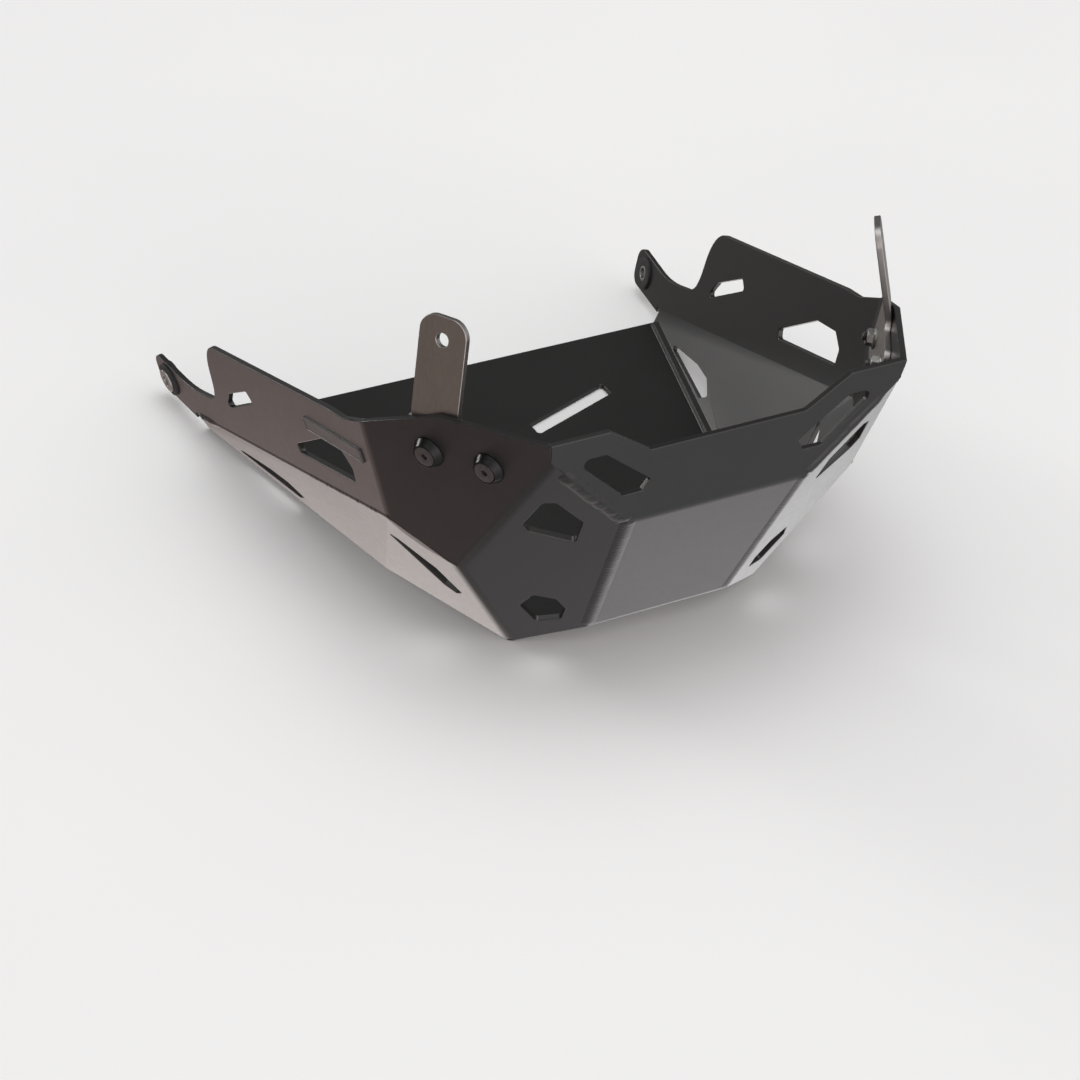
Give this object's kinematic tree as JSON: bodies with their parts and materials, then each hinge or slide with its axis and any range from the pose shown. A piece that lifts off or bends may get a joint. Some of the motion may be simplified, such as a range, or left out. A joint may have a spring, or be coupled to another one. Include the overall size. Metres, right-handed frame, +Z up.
{
  "type": "motorbike engine guard",
  "caption": "Folded and welded sheet-metal engine guard for a motorbike: open tub with slotted front face, angled corner faces, strap brackets and cup-washer screws.",
  "frame": {"origin": "middle of the outline in plan, on the plane of the flat bottom", "axes": "+X to the front of the motorbike, +Y to its left, +Z up"},
  "size_m": [0.5009, 0.4124, 0.267],
  "materials": {
    "guard_coat": "satin black powder coat on aluminium sheet",
    "weld_coat": "weld bead under satin black powder coat",
    "strap_steel": "satin",
    "cup_black": "black anodised, turned",
    "screw_steel": "black oxide",
    "nut_zinc": "zinc plated",
    "badge_plate": "dark anodised, blank",
    "grommet_rubber": "matte",
    "sleeve_steel": "zinc plated, turned"
  },
  "bodies": {
    "root": {"centre_plate": "guard_coat", "left_side_plate": "guard_coat", "right_side_plate": "guard_coat", "left_upper_weld": "weld_coat", "right_upper_weld": "weld_coat", "left_lower_weld": "weld_coat", "right_lower_weld": "weld_coat", "left_flank_weld": "weld_coat", "right_flank_weld": "weld_coat", "left_keel_weld": "weld_coat", "right_keel_weld": "weld_coat", "left_bracket": "strap_steel", "right_bracket": "strap_steel", "cup_washers": "cup_black", "flank_screws": "screw_steel", "flange_nuts": "nut_zinc", "left_badge": "badge_plate", "right_badge": "badge_plate", "tail_grommets": "grommet_rubber", "tail_sleeves": "sleeve_steel"}
  },
  "joints": []
}
